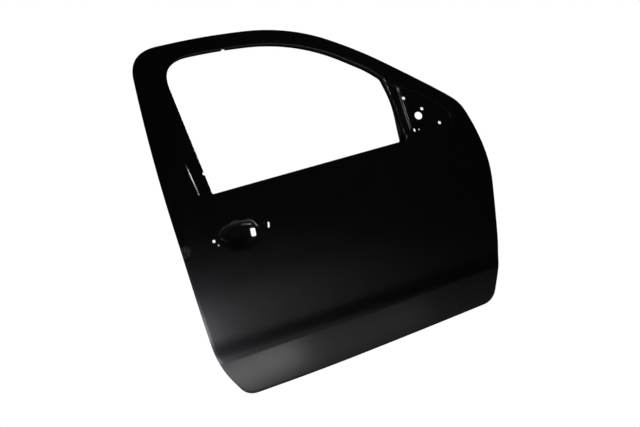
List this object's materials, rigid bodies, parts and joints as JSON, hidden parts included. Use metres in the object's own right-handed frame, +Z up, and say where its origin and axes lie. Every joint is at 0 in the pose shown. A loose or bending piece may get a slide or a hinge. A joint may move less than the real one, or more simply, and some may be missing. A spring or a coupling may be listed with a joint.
{
  "type": "car door shell",
  "caption": "Right-hand front door shell of pressed steel with a full window frame, hemmed outer panel, inner panel with access holes, side impact beam and reinforcements.",
  "frame": {"origin": "centre of the upper hinge seat, on the flat front face of the inner panel", "axes": "+X towards the front of the vehicle, -Y outboard, +Z up"},
  "size_m": [1.132, 0.2498, 1.2144],
  "materials": {
    "e_coat": "satin black electro-coat on drawn steel sheet",
    "zinc_plate": "dull coat on machined steel plates and weld nuts",
    "mastic": "matt anti-flutter mastic"
  },
  "bodies": {
    "root": {"anti_flutter_pad_1": "mastic", "anti_flutter_pad_2": "mastic", "anti_flutter_pad_3": "mastic", "beam_front_bracket": "e_coat", "beam_rear_bracket": "e_coat", "belt_reinforcement_inner": "e_coat", "belt_reinforcement_outer": "e_coat", "check_link_plate": "e_coat", "dent_stiffener": "e_coat", "front_glass_bridge": "e_coat", "front_glass_rail": "e_coat", "handle_reinforcement": "e_coat", "hinge_reinforcement": "e_coat", "inner_panel": "e_coat", "latch_reinforcement": "e_coat", "lower_hinge_tapping_plate": "zinc_plate", "mirror_reinforcement": "e_coat", "outer_panel": "e_coat", "pillar_reinforcement": "e_coat", "rear_glass_bridge": "e_coat", "rear_glass_rail": "e_coat", "regulator_nut_1": "zinc_plate", "regulator_nut_2": "zinc_plate", "regulator_nut_3": "zinc_plate", "regulator_nut_4": "zinc_plate", "side_impact_beam": "e_coat", "upper_hinge_tapping_plate": "zinc_plate", "window_run_channel": "e_coat"}
  },
  "joints": []
}
